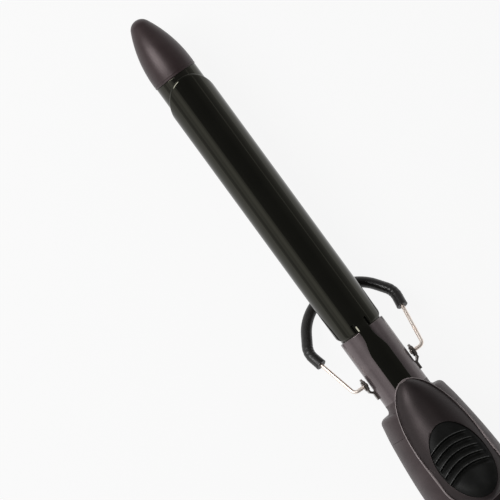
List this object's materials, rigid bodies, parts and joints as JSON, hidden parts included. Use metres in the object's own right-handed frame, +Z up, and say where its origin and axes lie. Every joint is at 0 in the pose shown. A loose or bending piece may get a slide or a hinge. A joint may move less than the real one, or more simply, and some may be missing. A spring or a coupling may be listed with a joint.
{
  "type": "curling iron",
  "caption": "Curling iron: slim round barrel under a sprung clip with a thumb lever, cool tip, folding wire stand, oval handle and cord swivel.",
  "frame": {"origin": "on the resting surface, below the middle of the overall length", "axes": "+X towards the cool tip along the barrel, +Y to the left of someone holding the iron tip forward, +Z up, on the clip side"},
  "size_m": [0.312, 0.0478, 0.0487],
  "materials": {
    "neck_plastic": "satin, fine texture",
    "handle_plastic": "satin, fine texture",
    "pad_rubber": "matt",
    "barrel_coating": "gloss, ceramic coated",
    "clip_enamel": "high gloss enamel",
    "sleeve_rubber": "matt",
    "wire_nickel": "bright nickel",
    "bracket_steel": "zinc plated",
    "fastener_steel": "zinc plated",
    "aluminium": "extruded",
    "ceramic": "matt",
    "film": "amber film",
    "lead_insulation": "glass braid",
    "board": "solder mask",
    "components": "mixed parts",
    "lens_red": "clear red",
    "brass": "bright"
  },
  "bodies": {
    "handle": {"cool_tip": "handle_plastic", "tip_anchor": "fastener_steel", "tip_screw": "fastener_steel", "barrel_tube": "barrel_coating", "heater_plate": "ceramic", "heater_insulation": "film", "heat_spreader_upper": "aluminium", "heat_spreader_lower": "aluminium", "heater_leads": "lead_insulation", "thermal_fuse": "fastener_steel", "neck_sleeve": "neck_plastic", "stand_bracket": "bracket_steel", "stand_screw": "fastener_steel", "stand_eyelets": "bracket_steel", "hinge_bracket": "bracket_steel", "hinge_pin": "fastener_steel", "bracket_screw": "fastener_steel", "clip_spring": "fastener_steel", "front_guard": "handle_plastic", "handle_upper_shell": "handle_plastic", "handle_lower_shell": "handle_plastic", "handle_screws": "fastener_steel", "circuit_board": "board", "board_components": "components", "switch_body": "components", "indicator_led": "lens_red", "indicator_lens": "lens_red", "end_cap": "handle_plastic", "contact_blades": "brass"},
    "clip": {"clip_spoon": "clip_enamel", "lever_cover": "handle_plastic", "thumb_pad": "pad_rubber", "lever_rivets": "fastener_steel"},
    "stand": {"stand_wire": "wire_nickel", "stand_sleeve": "sleeve_rubber"},
    "switch": {"heat_slider": "handle_plastic"},
    "swivel": {"cord_swivel": "neck_plastic", "slip_rings": "brass"}
  },
  "joints": [
    {"name": "clip_open", "type": "hinge", "parent": "handle", "child": "clip", "pos_m": [-0.043, 0, 0.03477], "axis": [0, -1, 0], "range_deg": [0, 14], "stiffness_Nm_per_rad": 0.35, "springref_deg": -20.05, "deforming": ["clip_spring"]},
    {"name": "stand_swing", "type": "hinge", "parent": "handle", "child": "stand", "pos_m": [-0.0198, 0, 0.02077], "axis": [0, 1, 0], "range_deg": [-8, 95]},
    {"name": "heat_slide", "type": "slide", "parent": "handle", "child": "switch", "axis": [1, 0, 0], "range_m": [0, 0.006]},
    {"name": "cord_swivel_turn", "type": "hinge", "parent": "handle", "child": "swivel", "pos_m": [-0.144, 0, 0.01577], "axis": [1, 0, 0], "continuous": true}
  ]
}
